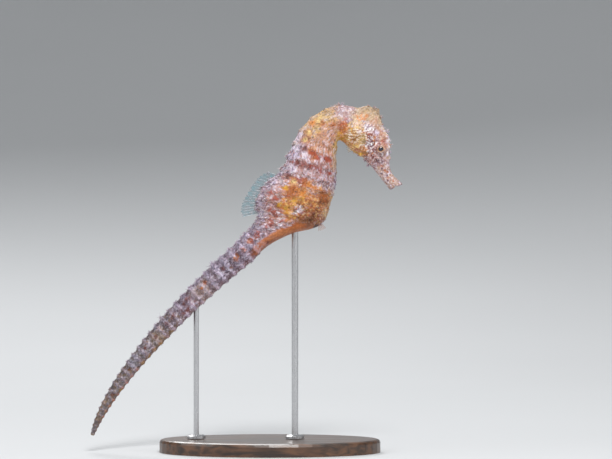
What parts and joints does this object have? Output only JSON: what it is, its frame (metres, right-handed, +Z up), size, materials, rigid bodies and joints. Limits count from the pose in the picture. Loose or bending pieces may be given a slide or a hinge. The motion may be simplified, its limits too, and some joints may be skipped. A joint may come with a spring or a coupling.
{
  "type": "seahorse model",
  "caption": "Life-size museum model of a slender male seahorse with bony rings, bent neck, tubular snout and long trailing tail, held over a flat oval base by rods.",
  "frame": {"origin": "middle of the base's flat underside", "axes": "+Z up, +X the way the animal faces; the animal's mid plane is y = 0"},
  "size_m": [0.1185, 0.05, 0.132],
  "materials": {
    "body_skin": "painted cast skin, lilac-white frosting over salmon and orange",
    "pouch_skin": "painted cast skin, smooth orange-brown",
    "head_skin": "painted cast skin, yellow and cream with red-brown speckles",
    "eye": "wet gloss",
    "fin": "thin translucent membrane with rays",
    "stand_base": "dark stained walnut, satin",
    "stand_rod": "satin steel"
  },
  "bodies": {
    "root": {"coronet": "head_skin", "head": "head_skin", "snout": "head_skin", "eye_left": "eye", "eye_right": "eye", "neck": "body_skin", "trunk_front": "body_skin", "trunk_rear": "body_skin", "brood_pouch": "pouch_skin", "tail_base": "body_skin", "tail_first": "body_skin", "tail_second": "body_skin", "tail_third": "body_skin", "tail_fourth": "body_skin", "tail_tip": "body_skin", "dorsal_fin": "fin", "anal_fin": "fin", "pectoral_fin_left": "fin", "pectoral_fin_right": "fin", "stand_base": "stand_base", "stand_rod_trunk": "stand_rod", "stand_rod_tail": "stand_rod"}
  },
  "joints": []
}
